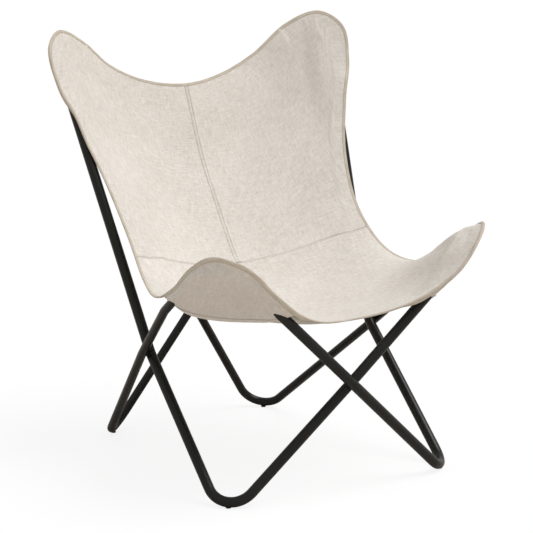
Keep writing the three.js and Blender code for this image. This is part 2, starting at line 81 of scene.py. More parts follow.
# Frame: two closed loops of 18 mm round steel tube, each bent cold from two lengths that meet over
# a spigot, one over a front leg and one over a rear leg. Powder coated satin black.
class Wire:
    """One output of a material's nodes; arithmetic adds Math nodes, node() adds any other kind"""

    def __init__(self, tree, socket=None):
        self.tree = tree
        self.socket = socket

    def node(self, kind, settings=None, inputs=None, out=0):
        made = self.tree.nodes.new("ShaderNode" + kind)
        for key, value in (settings or {}).items():
            setattr(made, key, value)
        for key, value in (inputs or {}).items():
            if isinstance(value, Wire):
                self.tree.links.new(value.socket, made.inputs[key])
            else:
                made.inputs[key].default_value = value
        return Wire(self.tree, made.outputs[out] if made.outputs else None)

    def maths(self, operation, first, second=0.0, clamp=False):
        settings = {"operation": operation, "use_clamp": clamp}
        return self.node("Math", settings, {0: first, 1: second})

    def __add__(self, other):
        return self.maths("ADD", self, other)

    def __sub__(self, other):
        return self.maths("SUBTRACT", self, other)

    def __rsub__(self, other):
        return self.maths("SUBTRACT", other, self)

    def __mul__(self, other):
        return self.maths("MULTIPLY", self, other)

    def clamped(self):
        return self.maths("ADD", self, 0.0, True)

    __radd__ = __add__
    __rmul__ = __mul__

    def place(self):
        """Where on the object a point lies, in metres"""
        return self.node("TexCoord", out=3)

    def cut_place(self):
        """Where on its flat piece of cloth a point lies, in metres"""
        return self.node("UVMap", {"uv_map": "cut"})

    def scaled(self, scale):
        return self.node("VectorMath", {"operation": "MULTIPLY"}, {0: self, 1: scale})

    def noise(self, scale=1.0, detail=2.0, roughness=0.6):
        inputs = {"Vector": self, "Scale": scale, "Detail": detail, "Roughness": roughness}
        return self.node("TexNoise", {}, inputs)

    def between(self, low, high):
        """0 at low, 1 at high, clamped"""
        inputs = {"Value": self, "From Min": low, "From Max": high}
        return self.node("MapRange", {"clamp": True}, inputs)

    def mixed(self, first, second):
        """The first colour where this is 0, the second where it is 1"""
        settings = {"data_type": "RGBA", "blend_type": "MIX"}
        return self.node("Mix", settings, {0: self, 6: first, 7: second}, 2)

    def bumps(self, strength, distance):
        """Normals for this height"""
        inputs = {"Strength": strength, "Distance": distance, "Height": self}
        return self.node("Bump", {}, inputs)


def started(name, kind="materials"):
    made = getattr(bpy.data, kind).new(name)
    made.use_nodes = True
    made.node_tree.nodes.clear()
    return made, Wire(made.node_tree)


def finished(wires, surface):
    wires.node("OutputMaterial", {}, {"Surface": surface})


def principled(wires, looks):
    finished(wires, wires.node("BsdfPrincipled", {}, looks))


def finished_in(piece, material):
    piece.data.materials.clear()
    piece.data.materials.append(material)


def fitted(piece, material, slot, *nodes):
    """A piece of the welded chair, with its finish, in place of its plain solids"""
    finished_in(piece, material)
    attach(piece, "root")
    if nodes:
        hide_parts(*nodes)


def to_mode(mode):
    bpy.ops.object.mode_set(mode=mode)


def deselected():
    bpy.ops.object.select_all(action="DESELECT")


def chosen(piece):
    deselected()
    bpy.context.view_layer.objects.active = piece
    piece.select_set(True)


def named(name):
    piece = bpy.context.object
    piece.name = name
    piece.data.name = name
    return piece


def modified(piece, kind, **settings):
    """Adds a modifier with these settings and applies it"""
    modifier = piece.modifiers.new(kind.lower(), kind)
    for key, value in settings.items():
        setattr(modifier, key, value)
    bpy.ops.object.modifier_apply(modifier=modifier.name)


black_coat, wires = started("satin_black_coat")
spot = wires.place()
orange_peel = spot.noise(900, 2, 0.5)
rubbed = spot.noise(38, 4, 0.6).between(0.62, 0.78)
dusty = spot.noise(11, 3, 0.55).between(0.42, 0.7)
coat_colours = (0.006, 0.006, 0.0055, 1), (0.018, 0.018, 0.017, 1)
principled(wires, {
    "Base Color": (rubbed * 0.35 + dusty * 0.3).mixed(*coat_colours),
    "Roughness": 0.3 + dusty * 0.1 + rubbed * 0.08,
    "Specular IOR Level": 0.3,
    "Normal": orange_peel.bumps(0.25, 0.0002),
})

tube_radius, tube_wall = 0.009, 0.0015
tube_sides = 28
degrees_per_step = 5
past_bend, joint_gap = 0.026, 0.0003
corner_of = {
    "rear_tip_inner": ((0.2719, 0.3479, 0.8669), 0.055),
    "rear_tip_outer": ((0.3360, 0.3101, 0.8633), 0.055),
    "side_inner": ((0.2690, 0.0322, 0.2572), 0.060),
    "front_foot": ((0.2745, -0.2686, -0.0216), 0.053),
    "front_crossing": ((0, -0.3186, 0.2278), 0.090),
    "front_tip_inner": ((-0.2771, -0.3293, 0.4904), 0.062),
    "front_tip_outer": ((-0.3238, -0.2723, 0.4975), 0.062),
    "arm": ((-0.3178, -0.1141, 0.3800), 0.072),
    "side_outer": ((-0.2883, 0.0312, 0.2579), 0.060),
    "rear_foot": ((-0.1954, 0.3719, -0.0331), 0.050),
    "back_crossing": ((0, 0.3077, 0.2741), 0.090),
}
other_way = {
    "front_foot": (0.2745, -0.2686, -0.0242),
    "front_crossing": (0, -0.2996, 0.2278),
    "rear_foot": (-0.1954, 0.3719, -0.0301),
    "back_crossing": (0, 0.3267, 0.2741),
}


def bend_of(before, corner, after, radius):
    """Where a bend starts and ends, its centre, its axis and how far it turns"""
    along = (corner - before).normalized()
    onward = (after - corner).normalized()
    turn = along.angle(onward)
    axis = along.cross(onward).normalized()
    start = corner - along * radius * math.tan(turn / 2)
    centre = start + axis.cross(along) * radius
    end = corner + onward * radius * math.tan(turn / 2)
    return start, end, centre, axis, turn


def loop_bends(side):
    """The bends of the loop over the rear tip of one side, 1 for the right and -1 for the left"""
    corners = []
    for name, (at, _) in corner_of.items():
        if side < 0:
            at = other_way.get(name, at)
        corners.append(Vector((side * at[0], at[1], at[2])))
    after = corners[1:] + corners[:1]
    return {
        name: bend_of(corners[i - 1], corners[i], after[i], corner_of[name][1])
        for i, name in enumerate(corner_of)
    }


def on_bend(bend, step, steps):
    """The tube's centre after some of the equal steps round a bend"""
    start, _, centre, axis, turn = bend
    return centre + Matrix.Rotation(turn * step / steps, 3, axis) @ (start - centre)


def bent_tube(name, start, bends, end):
    """A tube's round section, extruded along the straights and spun round the bends"""
    deselected()
    way = (bends[0][0] - start).normalized()
    turned = way.to_track_quat("Z", "Y").to_euler()
    bpy.ops.mesh.primitive_circle_add(
        vertices=tube_sides, radius=tube_radius, location=start, rotation=turned
    )
    piece = named(name)
    bpy.ops.object.transform_apply(location=True, rotation=True, scale=True)
    to_mode("EDIT")
    bpy.ops.mesh.select_all(action="SELECT")
    here = start
    for bend_start, bend_end, centre, axis, turn in bends:
        straight = bend_start - here
        bpy.ops.mesh.extrude_region_move(TRANSFORM_OT_translate={"value": straight})
        steps = max(2, math.ceil(math.degrees(turn) / degrees_per_step))
        bpy.ops.mesh.spin(steps=steps, angle=-turn, center=centre, axis=axis)
        here = bend_end
    bpy.ops.mesh.extrude_region_move(TRANSFORM_OT_translate={"value": end - here})
    bpy.ops.mesh.select_all(action="SELECT")
    bpy.ops.mesh.remove_doubles(threshold=0.00001)
    bpy.ops.mesh.normals_make_consistent(inside=False)
    to_mode("OBJECT")
    modified(piece, "SOLIDIFY", thickness=tube_wall, offset=-1)
    bpy.ops.object.shade_smooth_by_angle(angle=math.radians(40))
    return piece


rear_run = ["arm", "side_outer", "rear_foot", "back_crossing"]
front_run = [name for name in corner_of if name not in rear_run]
steps_in_bend = 6
centre_runs = []
crossings = {}
for side, here, there in ((-1, "left", "right"), (1, "right", "left")):
    bends = loop_bends(side)
    rear_way = (bends["back_crossing"][1] - bends["rear_tip_inner"][0]).normalized()
    rear_joint = bends["rear_tip_inner"][0] + rear_way * past_bend
    front_way = (bends["arm"][0] - bends["front_tip_outer"][1]).normalized()
    front_joint = bends["front_tip_outer"][1] + front_way * past_bend
    rear_half, front_half = rear_way * (joint_gap / 2), front_way * (joint_gap / 2)
    for name, run, start, end in (
        (f"{here}_front_leg", front_run, rear_joint - rear_half, front_joint - front_half),
        (f"{there}_rear_leg", rear_run, front_joint + front_half, rear_joint + rear_half),
    ):
        leg = bent_tube(name, start, [bends[corner] for corner in run], end)
        fitted(leg, black_coat, "frame_black", name + "_tube")
    run = [
        on_bend(bend, step, steps_in_bend)
        for bend in bends.values() for step in range(steps_in_bend + 1)
    ]
    for way in (1, -1):
        centre_runs.append(np.array([(way * p.x, p.y, p.z) for p in [*run, run[0]]]))
    crossings[side] = {name: on_bend(bend, 1, 2) for name, bend in bends.items()}


# Welds: a short bead in the nip of each pair of crossing tubes, laid in overlapping puddles and
# coated with the frame.
weld_radius, weld_depth, weld_ripples = 0.0075, 0.0036, 22
ripple_reach, ripple_waist = 0.7, 0.95
weld_between = {
    "front_weld": (crossings[-1]["front_crossing"], crossings[1]["front_crossing"]),
    "back_weld": (crossings[-1]["back_crossing"], crossings[1]["back_crossing"]),
    "left_weld": (crossings[-1]["side_inner"], crossings[1]["side_outer"]),
    "right_weld": (crossings[1]["side_inner"], crossings[-1]["side_outer"]),
}
for name, (one, other) in weld_between.items():
    deselected()
    turned = (other - one).normalized().to_track_quat("Z", "Y").to_euler()
    bpy.ops.mesh.primitive_uv_sphere_add(
        segments=2 * weld_ripples, ring_count=12, radius=weld_radius,
        location=(one + other) / 2, rotation=turned, scale=(1, 1, weld_depth / weld_radius),
    )
    piece = named(name + "_bead")
    to_mode("EDIT")
    bpy.ops.mesh.select_all(action="DESELECT")
    to_mode("OBJECT")
    for vertex in piece.data.vertices:
        turn = math.atan2(vertex.co.y, vertex.co.x) / (2 * math.pi) * 2 * weld_ripples
        vertex.select = round(turn) % 2 == 0 and abs(vertex.co.z) < weld_radius * ripple_reach
    to_mode("EDIT")
    bpy.ops.transform.resize(value=[ripple_waist] * 3, center_override=(one + other) / 2)
    to_mode("OBJECT")
    bpy.ops.object.transform_apply(location=True, rotation=True, scale=True)
    modified(piece, "SUBSURF", levels=1, render_levels=1)
    bpy.ops.object.shade_smooth()
    fitted(piece, black_coat, "weld_black", name)


# Glides: moulded black plastic buttons that the chair stands on. Their stems press into holes in
# the underside of the leg bends.
black_plastic, wires = started("black_plastic")
spot = wires.place()
grain = spot.noise(1600, 2, 0.6)
scuffed = spot.noise(240, 4, 0.7).between(0.5, 0.75)
principled(wires, {
    "Base Color": scuffed.mixed((0.012, 0.012, 0.012, 1), (0.03, 0.029, 0.028, 1)),
    "Roughness": 0.42 + scuffed * 0.2,
    "Normal": grain.bumps(0.3, 0.0001),
})
head_radius, head_height, head_rounding = 0.0055, 0.0025, 0.0008
stem_radius, stem_top = 0.0025, 0.0085
facing_up = 0.9
corner_names = ("left_front", "right_front", "left_rear", "right_rear")
for corner in corner_names:
    name = corner + "_glide"
    low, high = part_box(name)
    under = Vector(((low.x + high.x) / 2, (low.y + high.y) / 2, 0))
    deselected()
    bpy.ops.mesh.primitive_cylinder_add(
        vertices=40, radius=head_radius, depth=head_height,
        location=under + Vector((0, 0, head_height / 2)),
    )
    piece = named(name + "_button")
    bpy.ops.object.transform_apply(location=True, rotation=True, scale=True)
    to_mode("EDIT")
    bpy.ops.mesh.select_mode(type="FACE")
    bpy.ops.mesh.select_all(action="DESELECT")
    to_mode("OBJECT")
    for face in piece.data.polygons:
        face.select = face.normal.z > facing_up
    to_mode("EDIT")
    bpy.ops.mesh.inset(thickness=head_radius - stem_radius, depth=0)
    stem = (0, 0, stem_top - head_height)
    bpy.ops.mesh.extrude_region_move(TRANSFORM_OT_translate={"value": stem})
    to_mode("OBJECT")
    modified(piece, "BEVEL", width=head_rounding, segments=3, angle_limit=math.radians(50))
    bpy.ops.object.shade_smooth_by_angle(angle=math.radians(35))
    fitted(piece, black_plastic, "glide_plastic", name)


# Spigots: short lengths of turned steel bar inside the tubes where the two lengths of a loop meet.
# The coated tube hides them, apart from the hairline of each joint.
turned_steel, wires = started("turned_steel")
spot = wires.place()
turning = spot.scaled((60, 60, 4000)).noise()
principled(wires, {
    "Base Color": turning.mixed((0.34, 0.34, 0.35, 1), (0.5, 0.5, 0.5, 1)),
    "Metallic": 1.0,
    "Roughness": 0.3 + turning * 0.15,
    "Normal": turning.bumps(0.2, 0.0001),
})
for corner in corner_names:
    finished_in(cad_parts[corner + "_spigot"], turned_steel)


# Sling: natural cotton canvas, 1.5 mm thick, cut as two back halves and a seat and sewn together.
# It hangs from the four tips of the frame and takes a saddle shape between them.
thread_pitch = 0.0011
natural_canvas, wires = started("natural_canvas")
cut = wires.cut_place()
threads_down = cut.scaled((1 / thread_pitch, 60, 1)).noise()
threads_across = cut.scaled((60, 1 / thread_pitch, 1)).noise()
slubs_down = cut.scaled((330, 45, 1)).noise(1, 3, 0.65)
slubs_across = cut.scaled((45, 330, 1)).noise(1, 3, 0.65)
mottle = cut.noise(120, 5, 0.7)
cloudy = cut.noise(9, 4, 0.6)
flecks = cut.scaled((260, 150, 1)).noise(1, 2, 0.5).between(0.69, 0.78)
weave = threads_down * 0.5 + threads_across * 0.5
slub = (slubs_down * 0.5 + slubs_across * 0.5).between(0.35, 0.65)
shade = (slub * 0.55 + mottle.between(0.3, 0.7) * 0.25 + cloudy.between(0.3, 0.7) * 0.2).clamped()
cloth_colour = shade.mixed((0.53, 0.485, 0.43, 1), (0.85, 0.805, 0.745, 1))
height = weave.between(0.3, 0.7) * 0.55 + slub * 0.45
principled(wires, {
    "Base Color": (flecks * 0.6).mixed(cloth_colour, (0.4, 0.345, 0.29, 1)),
    "Roughness": 0.86 + mottle * 0.1,
    "Specular IOR Level": 0.25,
    "Sheen Weight": 0.12,
    "Sheen Roughness": 0.5,
    "Normal": height.bumps(0.5, 0.0006),
})

cloth_thickness, cloth_clearance, cloth_slack = 0.0015, 0.0017, 0.001
plateau, fade = 0.020, 0.065
strip_rest, strip_reach = 0.025, 0.075
cloth_start = 0.0012
hem_tail = 0.014
seam_gap = 0.0003
sling_size = np.array((0.37, 0.75, 0.89))
sling_shift = np.array((0, 0.00294, 0))
mirror = np.array((-1, 1, 1))

# The right-hand edge from the top centre over both tips to the front centre, and the middle line,
# as shares of half the width, the depth and the height
top_edge_shares = [
    (0, 0.461, 0.842), (0.257, 0.472, 0.858), (0.486, 0.472, 0.902), (0.689, 0.455, 0.969),
]
side_edge_shares = [
    (0.868, 0.415, 0.999), (0.978, 0.368, 0.964), (0.969, 0.329, 0.884), (0.891, 0.285, 0.787),
    (0.807, 0.221, 0.674), (0.769, 0.124, 0.551), (0.803, 0.008, 0.467), (0.854, -0.097, 0.449),
    (0.886, -0.225, 0.491), (0.897, -0.322, 0.551), (0.862, -0.411, 0.5885),
]
front_edge_shares = [
    (0.735, -0.481, 0.568), (0.581, -0.497, 0.503), (0.405, -0.468, 0.449), (0.203, -0.416, 0.412),
    (0, -0.376, 0.397),
]
middle_shares = [
    (0, 0.461, 0.842), (0, 0.415, 0.755), (0, 0.368, 0.67), (0, 0.305, 0.591), (0, 0.24, 0.512),
    (0, 0.173, 0.443), (0, 0.085, 0.394), (0, -0.013, 0.366), (0, -0.131, 0.359),
    (0, -0.253, 0.372), (0, -0.376, 0.397),
]
rear_tip_mark, front_tip_mark, front_centre_mark = 4, 14, 19
pull_power = 2.5
seam_middle, seam_rise, seam_mark = 0.5, 0.054, 9.42
half_edge = np.array(top_edge_shares + side_edge_shares + front_edge_shares)
half_edge = half_edge * sling_size + sling_shift
edge_points = np.vstack([half_edge, (half_edge[1:-1] * mirror)[::-1]])
middle_points = np.array(middle_shares) * sling_size + sling_shift


def spline(points, at, closed):
    """The smooth curve through the points, at places counted in points"""
    at = np.atleast_1d(np.asarray(at, float))
    count = len(points)
    if closed:
        first = np.floor(at).astype(int)
        around = [points[(first + k) % count] for k in (-1, 0, 1, 2)]
    else:
        first = np.minimum(np.floor(at).astype(int), count - 2)
        longer = np.vstack([2 * points[0] - points[1], points, 2 * points[-1] - points[-2]])
        around = [longer[first + k] for k in (0, 1, 2, 3)]
    p0, p1, p2, p3 = around
    steps = p1 - p0, p2 - p1, p3 - p2
    d0, d1, d2 = [np.sqrt(np.linalg.norm(step, axis=1))[:, None] for step in steps]
    leaving = ((p1 - p0) / d0 - (p2 - p0) / (d0 + d1) + (p2 - p1) / d1) * d1
    coming = ((p2 - p1) / d1 - (p3 - p1) / (d1 + d2) + (p3 - p2) / d2) * d1
    w = (at - first)[:, None]
    bow = -3 * p1 + 3 * p2 - 2 * leaving - coming
    return p1 + leaving * w + bow * w**2 + (2 * p1 - 2 * p2 + leaving + coming) * w**3


def edge_at(marks):
    return spline(edge_points, marks, True)


def surface_at(s, t):
    """The sling's middle surface: s runs from its middle line to its edge, t from top to front"""
    s, t = np.broadcast_arrays(np.atleast_1d(s).astype(float), np.atleast_1d(t).astype(float))
    share = np.stack([s, s**2, s**2], axis=1)

    def between(inner, outer):
        return inner + (outer - inner) * share

    top = edge_at(s * rear_tip_mark)
    side = edge_at(rear_tip_mark + t * (front_tip_mark - rear_tip_mark))
    front = edge_at(front_centre_mark - s * (front_centre_mark - front_tip_mark))
    top_change = top - between(edge_at(0), edge_at(rear_tip_mark))
    front_change = front - between(edge_at(front_centre_mark), edge_at(front_tip_mark))
    middle = spline(middle_points, t * (len(middle_points) - 1), False)
    pulled = top_change * ((1 - t) ** pull_power)[:, None] + front_change * (t**pull_power)[:, None]
    return between(middle, side) + pulled


def unit(vectors):
    return vectors / np.linalg.norm(vectors, axis=-1, keepdims=True)


def lengths_along(line):
    return np.concatenate([[0], np.cumsum(np.linalg.norm(np.diff(line, axis=0), axis=1))])


def placed(line, lengths, at):
    """The points at some lengths along a line"""
    return np.stack([np.interp(at, lengths, column) for column in line.T], axis=1)


def normal_at(s, t):
    """The way off the sling on the sitter's side"""
    step, most_s, least_t = 0.002, 0.97, 0.02
    s, t = np.broadcast_arrays(np.atleast_1d(s).astype(float), np.atleast_1d(t).astype(float))
    u, v = np.clip(s, step, most_s), np.clip(t, least_t, 1 - least_t)
    across = surface_at(u + step, v) - surface_at(u - step, v)
    down = surface_at(u, v + step) - surface_at(u, v - step)
    normal = np.cross(down, across)
    normal[s == 0, 0] = 0
    return unit(normal)


def smoothed(value, low, high):
    share = np.clip((value - low) / (high - low), 0, 1)
    return share * share * (3 - 2 * share)


wrap_radius = tube_radius + cloth_clearance + cloth_thickness / 2


def lift_at(places, normals):
    """How far the tubes behind it push the sling out here"""
    lift = np.zeros(len(places))
    for run in centre_runs:
        for start, end in zip(run[:-1], run[1:]):
            way = end - start
            along = np.clip((places - start) @ way / (way @ way), 0, 1)
            offset = start + along[:, None] * way - places
            height = np.sum(offset * normals, axis=1)
            aside = np.linalg.norm(offset - height[:, None] * normals, axis=1)
            need = wrap_radius + cloth_slack + height
            lift = np.maximum(lift, need * (1 - smoothed(aside, plateau, fade)))
    return lift


crest_height, crest_start, crest_end = 0.018, 10.6, 14.9
crest_foot, crest_top = 0.5, 0.86
crest_rim_start, crest_rim_end = 0.002, 0.032


def crest_along(marks):
    """How the seat's sides stand up over the arms, along the edge: 0 to 1 and back to 0"""
    marks = np.asarray(marks, float)
    share = np.clip((marks - crest_start) / (crest_end - crest_start), 0, 1)
    return np.sin(math.pi * share) ** 2


def raised(s, t):
    places, normals = surface_at(s, t), normal_at(s, t)
    marks = rear_tip_mark + np.asarray(t) * (front_tip_mark - rear_tip_mark)
    crest = crest_height * crest_along(marks) * smoothed(np.asarray(s), crest_foot, crest_top)
    return places + normals * (lift_at(places, normals) + crest)[:, None]


class Sections:
    """Planes square to the sling's edge at marks: the way along, off the sling and inward"""

    def __init__(self, marks):
        step = 0.002
        self.marks = np.asarray(marks, float)
        self.at = edge_at(self.marks)
        self.way = unit(edge_at(self.marks + step) - edge_at(self.marks - step))
        side, front = front_tip_mark - rear_tip_mark, front_centre_mark - front_tip_mark
        before, after = self.marks <= rear_tip_mark, self.marks > front_tip_mark
        s = np.where(before, self.marks / rear_tip_mark, 1)
        s = np.where(after, (front_centre_mark - self.marks) / front, s)
        t = np.clip((self.marks - rear_tip_mark) / side, 0, 1)
        normal = normal_at(s, t)
        self.normal = unit(normal - np.sum(normal * self.way, axis=1)[:, None] * self.way)
        self.inward = np.cross(self.way, self.normal)
        self.pocketed = pocketed_at(self.marks)

    def put(self, lines):
        """Lines of points (inward, off the sling), one line for each plane"""
        return (
            self.at[:, None]
            + lines[..., :1] * self.inward[:, None]
            + lines[..., 1:] * self.normal[:, None]
        )

    def open_lift(self, x):
        """How far the tubes push the sheet out at distances inward, where it isn't in a pocket"""
        x = np.broadcast_to(x, (len(self.at), np.shape(x)[-1]))
        lines = np.stack([x, np.zeros_like(x)], axis=2)
        places = self.put(lines).reshape(-1, 3)
        normals = np.repeat(self.normal, x.shape[1], axis=0)
        return lift_at(places, normals).reshape(x.shape)

    def tube(self, up):
        """Where the tube passes through each plane, and the radius that clears it there"""
        least_crossing = 0.7
        centre = np.full((len(self.at), 2), np.nan)
        radius = np.full(len(self.at), np.nan)
        for run in centre_runs:
            distance = np.sum((run[None] - self.at[:, None]) * self.way[:, None], axis=2)
            before, after = distance[:, :-1], distance[:, 1:]
            plane, part = np.nonzero((before * after <= 0) & (before != after))
            share = before[plane, part] / (before[plane, part] - after[plane, part])
            start, end = run[part], run[part + 1]
            hit = start + (end - start) * share[:, None] - self.at[plane]
            inward = np.sum(hit * self.inward[plane], axis=1)
            height = np.sum(hit * self.normal[plane], axis=1)
            slant = np.abs(before - after)[plane, part] / np.linalg.norm(end - start, axis=1)
            for i, k in enumerate(plane):
                if np.linalg.norm(hit[i]) > strip_reach:
                    continue
                if np.isnan(radius[k]) or up * height[i] > up * centre[k, 1]:
                    centre[k] = inward[i], height[i]
                    cut_radius = tube_radius / max(slant[i], least_crossing)
                    radius[k] = cut_radius + wrap_radius - tube_radius
        return centre, radius


rear_pocket, front_pocket, far_ramp = (2.2, 6.1, 0.8), (11.7, 16.9, 0.3), 0.8
near_tube, far_tube = 0.056, 0.073
seam_half = (cloth_thickness + seam_gap) / 2
strip_shares = np.array([0, 0.12, 0.25, 0.38, 0.5, 0.62, 0.75, 0.88, 1])
points_round = 13


def pocketed_at(marks):
    """1 along the edge of a pocket, fading to 0 beyond its ends"""
    share = np.zeros(len(marks))
    for low, high, ramp in (rear_pocket, front_pocket):
        inside = smoothed(marks, low - ramp, low) * (1 - smoothed(marks, high, high + far_ramp))
        share = np.maximum(share, inside)
    return share


def wrapped(edge, centre, radius, up):
    """A line from the sheet's edge round the tube to straight above or below its centre"""
    reach = edge - centre
    lean = math.atan2(up * reach[1], reach[0])
    if lean < -math.pi / 2:
        lean += 2 * math.pi
    spread = math.acos(min(1, radius / np.linalg.norm(reach)))
    angles = np.linspace(max(math.pi / 2, lean - spread), math.pi / 2, points_round)
    round_tube = centre + radius * np.stack([np.cos(angles), up * np.sin(angles)], axis=1)
    line = np.vstack([edge, round_tube])
    lengths = lengths_along(line)
    return placed(line, lengths, strip_shares * lengths[-1])


def nearness(centre):
    """1 for a tube within a pocket's reach of the edge, fading to 0 beyond it"""
    return 1 - smoothed(np.linalg.norm(centre), near_tube, far_tube)


def close_over(sections, lines, up):
    """Draws the lines of a pocket round the tube, over it with up 1 and under it with up -1"""
    centre, radius = sections.tube(up)
    for k in np.nonzero(sections.pocketed > 0)[0]:
        if np.isnan(radius[k]) or up * centre[k, 1] < -wrap_radius or centre[k, 0] < cloth_start:
            continue
        closed = wrapped(np.array((cloth_start, up * seam_half)), centre[k], radius[k], up)
        lines[k] += (closed - lines[k]) * sections.pocketed[k] * nearness(centre[k])


def top_lines(sections):
    """The top sheet's line in each section, from its edge inward to over the tube"""
    x = cloth_start + strip_shares * (strip_rest - cloth_start)
    lift = sections.open_lift(x)
    lines = np.stack([np.broadcast_to(x, lift.shape), lift], axis=2)
    lines[..., 1] += sections.pocketed[:, None] * seam_half
    close_over(sections, lines, 1)
    crest = crest_height * crest_along(sections.marks)
    lines[..., 1] += crest[:, None] * smoothed(lines[..., 0], crest_rim_start, crest_rim_end)
    return lines


def under_lines(sections):
    """The line below: the pocket's sheet where there is one, and the top sheet's own elsewhere"""
    lines = top_lines(sections)
    lines[..., 1] -= 2 * sections.pocketed[:, None] * seam_half
    close_over(sections, lines, -1)
    return lines


def finer(values, parts):
    """The same run of values with each step cut into equal parts"""
    values = np.asarray(values, float)
    places = np.linspace(0, len(values) - 1, (len(values) - 1) * parts + 1)
    return np.interp(places, np.arange(len(values)), values)


def arc(rows, axis):
    """Lengths along the rows of a grid of points"""
    steps = np.linalg.norm(np.diff(rows, axis=axis), axis=2)
    lengths = np.cumsum(steps, axis=axis)
    pad = [(0, 0), (0, 0)]
    pad[axis] = (1, 0)
    return np.pad(lengths, pad)


deep_inside = 0.06


def half_sheet(grid, border, strips):
    """Points, faces, cut places and distances from the rim of half a panel: its inner grid, and
    strips that run in from its edge to the grid points of the border"""
    columns, rows = grid.shape[:2]
    cut = np.stack([arc(grid, 0), np.broadcast_to(arc(grid, 1)[:1], (columns, rows))], axis=2)
    inner = np.array([grid[i, j] for i, j in border])
    halfway = (strips[:, -1] + inner) / 2
    strips = np.concatenate([strips, halfway[:, None], inner[:, None]], axis=1)
    ways_across = unit(np.gradient(grid, axis=0))
    ways_down = unit(np.gradient(grid, axis=1))
    strip_cut = np.zeros(strips.shape[:2] + (2,))
    for k, (i, j) in enumerate(border):
        offset = strips[k] - grid[i, j]
        strip_cut[k, :, 0] = cut[i, j, 0] + offset @ ways_across[i, j]
        strip_cut[k, :, 1] = cut[i, j, 1] + offset @ ways_down[i, j]
    from_rim = arc(strips, 1)
    deep = np.full((columns, rows), deep_inside)
    for k, (i, j) in enumerate(border):
        deep[i, j] = from_rim[k, -1]
    points = np.vstack([grid.reshape(-1, 3), strips.reshape(-1, 3)])
    cuts = np.vstack([cut.reshape(-1, 2), strip_cut.reshape(-1, 2)])
    rims = np.concatenate([deep.ravel(), from_rim.ravel()])
    faces = grid_faces(columns, rows, 0) + grid_faces(*strips.shape[:2], columns * rows)
    return points, faces, cuts, rims


def grid_faces(rows, columns, first, closed=False):
    """Four-sided faces between neighbouring rows of points numbered from first"""
    faces = []
    for k in range(rows - 1):
        for j in range(columns if closed else columns - 1):
            a, b = first + k * columns + j, first + k * columns + (j + 1) % columns
            faces.append((a, b, b + columns, a + columns))
    return faces


def grid_part(rows, closed=False, column=0, across=None):
    """A grid of points with its faces and cut places: the lengths down one of its columns and
    along each row, or the lengths across that are given for all rows"""
    lengths = arc(rows, 1)
    down = arc(rows, 0)[:, column, None]
    places = np.broadcast_arrays(down, lengths if across is None else across)
    faces = grid_faces(*rows.shape[:2], 0, closed)
    return rows.reshape(-1, 3), faces, np.stack(places, axis=2).reshape(-1, 2), lengths.ravel()


def mirrored_half(half):
    points, faces, cuts, rims = half
    return points * mirror, [face[::-1] for face in faces], cuts * (-1, 1), rims


def joined(one, other):
    points = np.vstack([one[0], other[0]])
    faces = one[1] + [tuple(v + len(one[0]) for v in face) for face in other[1]]
    return points, faces, np.vstack([one[2], other[2]]), np.concatenate([one[3], other[3]])


def linked(name, points, faces):
    mesh = bpy.data.meshes.new(name)
    mesh.from_pydata(points, [], faces)
    piece = bpy.data.objects.new(name, mesh)
    bpy.context.scene.collection.objects.link(piece)
    return piece


def cloth_piece(name, part, levels=2):
    """A smooth sheet through the points, without thickness yet; its cut places are its UV map"""
    points, faces, cuts, rims = part
    keys = np.round(points * 1e6).astype(np.int64)
    _, first, number = np.unique(keys, axis=0, return_index=True, return_inverse=True)
    number = number.ravel()
    faces = [tuple(int(number[v]) for v in face) for face in faces]
    faces = [face for face in faces if len(set(face)) == 4]
    piece = linked(name, points[first].tolist(), faces)
    mesh = piece.data
    layer = mesh.uv_layers.new(name="cut")
    corners = np.zeros(len(mesh.loops), np.int32)
    mesh.loops.foreach_get("vertex_index", corners)
    layer.data.foreach_set("uv", cuts[first][corners].astype(np.float32).ravel())
    rim = mesh.attributes.new("from_rim", "FLOAT", "POINT")
    rim.data.foreach_set("value", rims[first].astype(np.float32))
    chosen(piece)
    rims_kept = {"boundary_smooth": "PRESERVE_CORNERS"}
    modified(piece, "SUBSURF", levels=levels, render_levels=levels, **rims_kept)
    bpy.ops.object.shade_smooth()
    return piece


def thickened(piece):
    """Gives a sheet its thickness and returns the flat area that it was cut to"""
    area = sum(face.area for face in piece.data.polygons)
    chosen(piece)
    modified(piece, "SOLIDIFY", thickness=cloth_thickness, offset=0)
    return area


wave_count = 10


def waves(places, seed, size):
    """Smooth unevenness between -1 and 1 over places in metres, from a few seeded waves"""
    rng = np.random.default_rng(seed)
    total = np.zeros(len(places))
    for _ in range(wave_count):
        way = rng.normal(size=places.shape[1])
        way *= rng.uniform(0.6, 1.6) / np.linalg.norm(way)
        total += np.sin(places @ way * 2 * math.pi / size + rng.uniform(0, 2 * math.pi))
    return total / wave_count


pucker_wave, pucker_height = 0.0242, 0.0006
pucker_start, pucker_top, pucker_reach = 0.004, 0.009, 0.022
sag_wave, sag_height, sag_start, sag_end = 0.09, 0.0007, 0.01, 0.05


